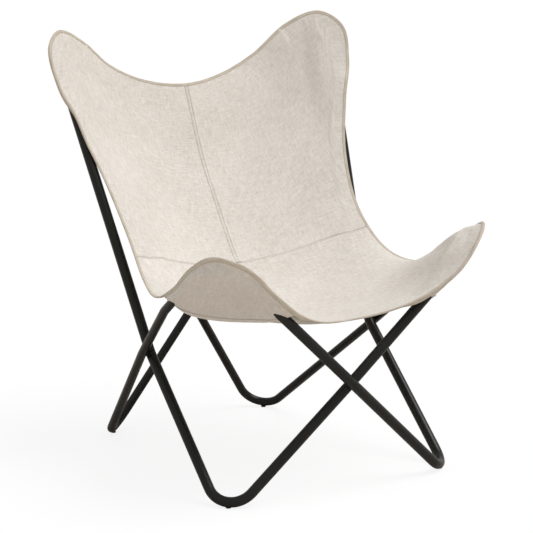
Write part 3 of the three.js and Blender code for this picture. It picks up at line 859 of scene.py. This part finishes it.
def settled(piece, seed):
    """Small puckers that run in from the sewn rim, and a slight unevenness all over"""
    mesh = piece.data
    points, normals = np.zeros((2, 3 * len(mesh.vertices)), np.float32)
    rims = np.zeros(len(mesh.vertices), np.float32)
    mesh.vertices.foreach_get("co", points)
    mesh.vertices.foreach_get("normal", normals)
    mesh.attributes["from_rim"].data.foreach_get("value", rims)
    points, normals = points.reshape(-1, 3).astype(float), normals.reshape(-1, 3).astype(float)
    rims = rims.astype(float)
    along = waves(points, seed, pucker_wave)
    risen = smoothed(rims, pucker_start, pucker_top)
    near_rim = risen * (1 - smoothed(rims, pucker_top, pucker_reach))
    uneven = waves(points, seed + 1, sag_wave) * smoothed(rims, sag_start, sag_end)
    points += normals * (along * near_rim * pucker_height + uneven * sag_height)[:, None]
    mesh.vertices.foreach_set("co", points.astype(np.float32).ravel())
    mesh.update()


across_back = {
    "shares": [0, 0.14, 0.28, 0.42, 0.54, 0.61, 0.67, 0.72, 0.76, 0.8, 0.83, 0.86],
    "marks": [0, 0.56, 1.12, 1.68, 2.2, 2.5, 2.75, 3, 3.25, 3.5, 3.75, 4.02],
}
down_back = {
    "shares": [
        0.075, 0.095, 0.115, 0.135, 0.155, 0.18, 0.205, 0.235, 0.265, 0.31, 0.36, 0.42, 0.475,
    ],
    "marks": [4.02, 4.28, 4.54, 4.8, 5.05, 5.35, 5.7, 6.1, 6.5, 7, 7.55, 8.15, 8.75],
}
down_seat = {
    "shares": [0.585, 0.63, 0.68, 0.72, 0.748, 0.775, 0.815, 0.85, 0.88, 0.905, 0.925],
    "marks": [9.85, 10.3, 10.8, 11.2, 11.45, 11.7, 12.2, 12.7, 13.15, 13.55, 13.85],
}
across_seat = {
    "shares": [0.86, 0.835, 0.8, 0.77, 0.73, 0.68, 0.62, 0.55, 0.48, 0.4, 0.27, 0.13, 0],
    "marks": [13.85, 14.1, 14.35, 14.65, 15, 15.4, 15.8, 16.3, 16.9, 17.35, 17.8, 18.4, 19],
}
back_parts, seat_parts_across, seat_parts_down = 3, 2, 3
seam_step = seam_gap / 2 / sling_size[2]


def seam_t(s):
    return seam_middle + seam_rise * s * s


def panel_grid(across, down, far, way):
    """Inner points of half a panel, in columns that are drawn from the far end to the cross seam"""
    share = (down - down[far]) / (down[-1 - far] - down[far])
    return np.array([
        raised(np.full(len(down), s), down[far] + share * (seam_t(s) + way * seam_step - down[far]))
        for s in across
    ])


across = finer(across_back["shares"], back_parts)
down = finer([*down_back["shares"], seam_middle], back_parts)
grid = panel_grid(across, down, 0, -1)
marks = np.concatenate([
    finer(across_back["marks"], back_parts),
    finer([*down_back["marks"], seam_mark], back_parts)[1:],
])
border = [(i, 0) for i in range(len(across))]
border += [(len(across) - 1, j) for j in range(1, len(down))]
back_sections = Sections(marks)
strips = back_sections.put(top_lines(back_sections))
strips[-1] -= back_sections.way[-1] * seam_gap / 2
grid[0, :, 0] = strips[0, :, 0] = seam_gap / 2
centre_run = np.vstack([strips[0, 2:], grid[0, 1:]])
right_half_back = half_sheet(grid, border, strips)

across = finer(across_seat["shares"][::-1], seat_parts_across)
down = finer([seam_middle, *down_seat["shares"]], seat_parts_down)
grid = panel_grid(across, down, -1, 1)
marks = np.concatenate([
    finer([seam_mark, *down_seat["marks"]], seat_parts_down),
    finer(across_seat["marks"], seat_parts_across)[1:],
])
border = [(len(across) - 1, j) for j in range(len(down))]
border += [(i, len(down) - 1) for i in range(len(across) - 2, -1, -1)]
seat_sections = Sections(marks)
strips = seat_sections.put(top_lines(seat_sections))
strips[0] += seat_sections.way[0] * seam_gap / 2
seam_rim = strips[0]
grid[0, :, 0] = strips[-1, :, 0] = 0
right_half_seat = half_sheet(grid, border, strips)

panels = {
    "right_back": (right_half_back, (0.44, 0.62), 11),
    "left_back": (mirrored_half(right_half_back), (0.44, 0.62), 12),
    "seat": (joined(right_half_seat, mirrored_half(right_half_seat)), (0.86, 0.62), 13),
}
cloth_points, cloth_faces, sheets = [], [], []
for name, (part, flat, seed) in panels.items():
    piece = cloth_piece(name, part)
    settled(piece, seed)
    area = thickened(piece)
    first = len(cloth_points)
    cloth_faces += [[first + v for v in face.vertices] for face in piece.data.polygons]
    cloth_points += [vertex.co.copy() for vertex in piece.data.vertices]
    fitted(piece, natural_canvas, "canvas", name + "_panel")
    sheets.append((piece, flat, area))

# Pockets: a second layer of the same canvas behind each corner, sewn in with the binding and
# hemmed straight across, that the frame's tip slides into.
hem_shares, least_tail = (0.35, 0.7, 1), 0.03
hem_fold, least_fold = 0.012, 0.3
hem_stitch_in, hem_stitch_off = 0.0015, 0.0018
hem_ring_step = 0.004
sag_power = 0.6
least_reach = 0.14
mark_slack = 1e-6
inner_column = -5
hem_ring = [
    (0.0120, 0.0009), (0.0117, 0.0014), (0.0060, 0.0017), (0.0010, 0.0016), (-0.0006, 0.0009),
    (-0.0006, -0.0009), (0.0010, -0.0016), (0.0060, -0.0017), (0.0117, -0.0014), (0.0120, -0.0009),
    (0.0060, -0.0009), (0.0006, -0.0008), (0.0006, 0.0008), (0.0060, 0.0009),
]
stitch_rows = []
for end, (low, high, _), flat, sag, (corner_low, corner_high) in (
    ("rear", rear_pocket, (0.32, 0.18), 0.004, (0.12, 0.03)),
    ("front", front_pocket, (0.34, 0.21), 0.014, (0.02, 0.04)),
):
    all_marks = np.concatenate([back_sections.marks, seat_sections.marks])
    marks = all_marks[(all_marks >= low - mark_slack) & (all_marks <= high + mark_slack)]
    sections = Sections(marks)
    rows = sections.put(under_lines(sections))
    first = rows[0, -1] + sections.inward[0] * hem_tail
    last = rows[-1, -1] + sections.inward[-1] * hem_tail
    along = (marks - low)[:, None] / (high - low)
    sagging = np.sin(math.pi * along**sag_power)
    hem = first + (last - first) * along - np.array((0, 0, sag)) * sagging
    opened = smoothed(along, -corner_low / 2, corner_low)
    opened = opened * (1 - smoothed(along, 1 - corner_high, 1))
    for k, share in enumerate(least_reach + (1 - least_reach) * opened[:, 0]):
        rows[k] = placed(rows[k], strip_shares, strip_shares * share)
    hem = rows[:, -1] + (hem - rows[:, -1]) * np.maximum(opened, least_tail)
    tails = [rows[:, -1] + (hem - rows[:, -1]) * share for share in hem_shares]
    rows = np.concatenate([rows, np.stack(tails, axis=1)], axis=1)
    half = grid_part(rows)
    hem_line = rows[:, -1]
    into = unit(rows[:, inner_column] - hem_line)
    narrow = least_fold + (1 - least_fold) * opened
    outward = unit(np.cross(into, np.gradient(hem_line, axis=0)))
    outward *= np.sign(-np.sum(outward * sections.normal, axis=1).mean())
    ring = np.stack([
        hem_line + into * reach * narrow + outward * off for reach, off in hem_ring
    ], axis=1)
    hem_half = grid_part(ring, closed=True, across=np.arange(len(hem_ring)) * hem_ring_step)
    stitch_run = hem_line + into * (hem_fold - hem_stitch_in) * narrow + outward * hem_stitch_off
    stitch_rows.append((stitch_run, outward, True))
    for side, part in (("right", hem_half), ("left", mirrored_half(hem_half))):
        piece = cloth_piece(f"{side}_{end}_pocket_hem", part, levels=1)
        fitted(piece, natural_canvas, "canvas")
    for side, part in (("right", half), ("left", mirrored_half(half))):
        piece = cloth_piece(f"{side}_{end}_pocket_cloth", part)
        area = thickened(piece)
        fitted(piece, natural_canvas, "canvas", f"{side}_{end}_pocket")
        sheets.append((piece, flat, area))

# Edge binding: a woven tape, darker than the canvas, folded over its edge all round and sewn
# through. The fold stands 1.4 mm beyond the canvas, and the tape reaches further in below.
rib_pitch, line_pitch = 0.0012, 0.0009
rim_tan_and_shade_start, rim_tan_and_shade_end = (0.0032, 0.0045), (0.009, 0.0115)
binding_tape, wires = started("binding_tape")
cut = wires.cut_place()
ribs = cut.scaled((1 / rib_pitch, 90, 1)).noise()
lines = cut.scaled((90, 1 / line_pitch, 1)).noise()
worn = cut.scaled((40, 140, 1)).noise(1, 4, 0.65).between(0.35, 0.7)
round_rim = wires.node("SeparateXYZ", {}, {0: cut}, 1)
# Darker round the rim's nose and into the start of the underside: partly the tape's own tan edge,
# partly painted shade of the rolled edge.
rim_tan_and_shade = round_rim.between(*rim_tan_and_shade_start) * (1 - round_rim.between(*rim_tan_and_shade_end))
tape_colours = (0.69, 0.62, 0.525, 1), (0.37, 0.31, 0.245, 1)
principled(wires, {
    "Base Color": (worn * 0.5 + rim_tan_and_shade * 0.3).mixed(*tape_colours),
    "Roughness": 0.88 + ribs * 0.08,
    "Specular IOR Level": 0.25,
    "Sheen Weight": 0.1,
    "Sheen Roughness": 0.5,
    "Normal": (ribs * 0.6 + lines * 0.4).bumps(0.5, 0.0004),
})
outer_top = [
    (0.0066, 0.0009), (0.0064, 0.0011), (0.0056, 0.0014), (0.0040, 0.0015), (0.0026, 0.0018),
    (0.0018, 0.0018),
]
outer_under = [
    (0.0018, 0.0018), (0.0026, 0.0018), (0.0045, 0.0015), (0.0076, 0.0014), (0.0084, 0.0011),
    (0.0086, 0.0009),
]
inner_under = [(0.0084, 0.0008), (0.0050, 0.0009), (0.0016, 0.0009)]
inner_top = [(0.0016, 0.0009), (0.0045, 0.0009), (0.0064, 0.0008)]
rim_reach, rim_points, rim_column = 0.0020, 7, 8
binding_parts = 9


def off_lines(lines, profile, up):
    """Points at (distance along, height off) each line of points in a section"""
    step = 0.001
    found = np.zeros((len(lines), len(profile), 2))
    for k, line in enumerate(lines):
        lengths = lengths_along(line)
        for i, (distance, height) in enumerate(profile):
            at = max(0, distance - cloth_start)
            before, here, after = placed(line, lengths, (at - step, at, at + step))
            along = unit(after - before)
            found[k, i] = here + up * height * np.array((-along[1], along[0]))
            if distance < cloth_start:
                found[k, i, 0] -= cloth_start - distance
    return found


round_marks = [
    *across_back["marks"], *down_back["marks"][1:], seam_mark,
    *down_seat["marks"], *across_seat["marks"][1:],
]
binding_sections = Sections(finer(round_marks, binding_parts))
tops, unders = top_lines(binding_sections), under_lines(binding_sections)
shell_top = off_lines(tops, outer_top, 1)
shell_under = off_lines(unders, outer_under, -1)
lining_under = off_lines(unders, inner_under, -1)
lining_top = off_lines(tops, inner_top, 1)
nose = (shell_top[:, -1:] + shell_under[:, :1]) / 2
half_nose = (shell_top[:, -1:] - shell_under[:, :1]) / 2
angles = np.linspace(math.pi / 2, -math.pi / 2, rim_points + 2)[1:-1]
rim = np.stack([
    nose[:, 0] + half_nose[:, 0] * math.sin(angle) - np.array((rim_reach, 0)) * math.cos(angle)
    for angle in angles
], axis=1)
ring = np.concatenate([shell_top, rim, shell_under, lining_under, lining_top], axis=1)
rows = binding_sections.put(ring)
rows[0, :, 0] = rows[-1, :, 0] = 0
half = grid_part(rows, closed=True, column=rim_column, across=arc(ring, 1).mean(axis=0))
binding = cloth_piece("binding", joined(half, mirrored_half(half)), levels=1)
chosen(binding)
to_mode("EDIT")
bpy.ops.mesh.select_all(action="SELECT")
bpy.ops.mesh.normals_make_consistent(inside=False)
to_mode("OBJECT")
fitted(binding, binding_tape, "binding_tape", "edge_binding")

# Seams: the centre seam is felled to the right and sewn down along its groove, both seams are
# taped below, and rows of cotton stitches hold the seams, the binding and the pockets' hems.
cloth_tree = BVHTree.FromPolygons(cloth_points, cloth_faces)
ray_start, ray_length = 0.008, 0.02


def on_cloth(points, ways, off):
    """Places off the cloth's surface, met by going against the ways"""
    found = []
    for point, way in zip(points, ways):
        way = Vector(way)
        hit = cloth_tree.ray_cast(Vector(point) + way * ray_start, -way, ray_length)[0]
        found.append((hit if hit else Vector(point)) + way * off)
    return np.array(found)


def band(name, run, across, ways, profile):
    """A strip of canvas along a line on the cloth: the profile is (distance across, height)"""
    rows = np.stack([
        on_cloth(run + across * aside, ways, height) for aside, height in profile
    ], axis=1)
    fitted(cloth_piece(name, grid_part(rows, closed=True), levels=1), natural_canvas, "canvas")


band_step = 0.006


def evened(run):
    """The same line in equal steps"""
    along = lengths_along(run)
    return placed(run, along, np.linspace(0, along[-1], int(along[-1] / band_step)))


centre_line = evened(centre_run * (0, 1, 1))
down_way = unit(np.gradient(centre_line, axis=0))
right_way = np.broadcast_to(np.array((1.0, 0, 0)), centre_line.shape)
up_way = unit(np.cross(down_way, right_way))
felled = [
    (-0.0044, -0.0003), (-0.0030, 0.0006), (-0.0006, 0.0019), (0.0014, 0.0021),
    (0.0028, 0.0012), (0.0033, 0.0003), (0.0038, 0.0012), (0.0054, 0.0022), (0.0078, 0.0021),
    (0.0098, 0.0008), (0.0108, -0.0003),
]
groove, groove_stitch_off = 0.0033, 0.0009
taped = [(-0.007, -0.0003), (-0.0068, 0.0010), (0, 0.0012), (0.0068, 0.0010), (0.007, -0.0003)]
band("centre_seam", centre_line, right_way, up_way, felled)
band("centre_seam_tape", centre_line, right_way, -up_way, taped)
stitched = on_cloth(centre_line + right_way * groove, up_way, groove_stitch_off)
stitch_rows.append((stitched, up_way, False))

seam_end, seam_points, seam_width, to_rim = 0.86, 30, 0.3, slice(8, 2, -2)
cross_stitch_down, cross_stitch_off = 0.003, 0.0001
seam_run = [raised(s, seam_t(s)) for s in np.linspace(0, seam_end, seam_points)]
seam_run = np.vstack([*seam_run, seam_rim[to_rim]])
seam_run = np.vstack([(seam_run[1:] * mirror)[::-1], seam_run])
seam_line = evened(seam_run)
seam_way = unit(np.gradient(seam_line, axis=0))
seam_up = []
for x, way in zip(seam_line[:, 0], seam_way):
    share = min(seam_end, abs(x) / seam_width)
    normal = normal_at(share, seam_t(share))[0] * (1 if x > 0 else mirror)
    seam_up.append(normal - (normal @ way) * way)
seam_up = unit(np.array(seam_up))
seam_down = np.cross(seam_way, -seam_up)
if seam_down[:, 2].mean() > 0:
    seam_down = -seam_down
band("cross_seam_tape", seam_line, seam_down, -seam_up, taped)
stitched = on_cloth(seam_line + seam_down * cross_stitch_down, seam_up, cross_stitch_off)
stitch_rows.append((stitched, seam_up, False))

binding_stitch_off = 0.0016
for lines, stitch_in, up in ((tops, 0.0052, 1), (unders, 0.0066, -1)):
    start, end = [
        binding_sections.put(off_lines(lines, [(stitch_in, off)], up))[:, 0]
        for off in (0, binding_stitch_off)
    ]
    stitch_rows.append((end, unit(end - start), True))

cotton_thread, wires = started("cotton_thread")
twist = wires.place().noise(2600, 2, 0.5)
principled(wires, {
    "Base Color": twist.mixed((0.42, 0.37, 0.30, 1), (0.57, 0.51, 0.43, 1)),
    "Roughness": 0.7 + twist * 0.2,
    "Normal": twist.bumps(0.4, 0.0001),
})
stitch_pitch, stitch_length, stitch_radius = 0.0036, 0.0025, 0.00045
look_ahead = 0.001
stitch_rings = ((-0.5, 0.35), (-0.3, 1.0), (0.3, 1.0), (0.5, 0.35))
stitch_faces = [(0, 3, 2, 1), (12, 13, 14, 15)] + [
    (r + c, r + (c + 1) % 4, r + 4 + (c + 1) % 4, r + 4 + c) for r in (0, 4, 8) for c in range(4)
]
points, faces = [], []
for run, ways, on_both_sides in stitch_rows:
    along = lengths_along(run)
    at = np.arange(stitch_pitch, along[-1] - stitch_pitch, stitch_pitch)
    middle = placed(run, along, at)
    onward = unit(placed(run, along, at + look_ahead) - middle)
    up = unit(placed(ways, along, at))
    side = np.cross(onward, up)
    for flip in (1, -1) if on_both_sides else (1,):
        for k in range(len(at)):
            first = len(points)
            for share, wide in stitch_rings:
                ring_centre = middle[k] + onward[k] * share * stitch_length
                for a, b in ((1, 0), (0, 1), (-1, 0), (0, -1)):
                    corner = ring_centre + (side[k] * a + up[k] * b) * stitch_radius * wide
                    points.append(corner * (flip, 1, 1))
            faces += [tuple(first + v for v in face[::flip]) for face in stitch_faces]
stitches = linked("stitches", [tuple(point) for point in points], faces)
for face in stitches.data.polygons:
    face.use_smooth = True
fitted(stitches, cotton_thread, "canvas")

# Studio: a white floor and surround, lit by a broad soft source high on the right front and by the
# surround. Only the camera sees it all white: the light that the floor throws back onto the chair
# is that of a warm mid grey.
floor_width = 60
floor_glow, surround = 0.86, 0.57
white_floor, wires = started("white_floor")
seen = wires.node("LightPath")
floor_colour = seen.mixed((0.61, 0.56, 0.50, 1), (0.95, 0.95, 0.95, 1))
finished(wires, wires.node("MixShader", {}, {
    0: seen * floor_glow,
    1: wires.node("BsdfDiffuse", {}, {"Color": floor_colour}),
    2: wires.node("Emission", {}, {"Color": (1, 1, 1, 1)}),
}))
deselected()
bpy.ops.mesh.primitive_plane_add(size=floor_width)
floor = named("floor")
floor.data.materials.append(white_floor)
floor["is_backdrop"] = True

world, wires = started("studio", "worlds")
bpy.context.scene.world = world
seen = wires.node("LightPath")
strength = surround + seen * (1 - surround)
background = wires.node("Background", {}, {"Color": (1, 1, 1, 1), "Strength": strength})
wires.node("OutputWorld", {}, {"Surface": background})


def soft_sun(name, way_from, strength, spread):
    """A far lamp in one direction, as wide in the sky as the spread in degrees"""
    bpy.ops.object.light_add(type="SUN")
    lamp = bpy.context.object
    lamp.name = name
    lamp.data.energy = strength
    lamp.data.angle = math.radians(spread)
    lamp.rotation_mode = "QUATERNION"
    lamp.rotation_quaternion = Vector(way_from).to_track_quat("Z", "Y")


soft_sun("key", (0.50, -0.42, 1.2), 2.05, 40)
bpy.context.scene.view_settings.view_transform = "Standard"

low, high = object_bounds()
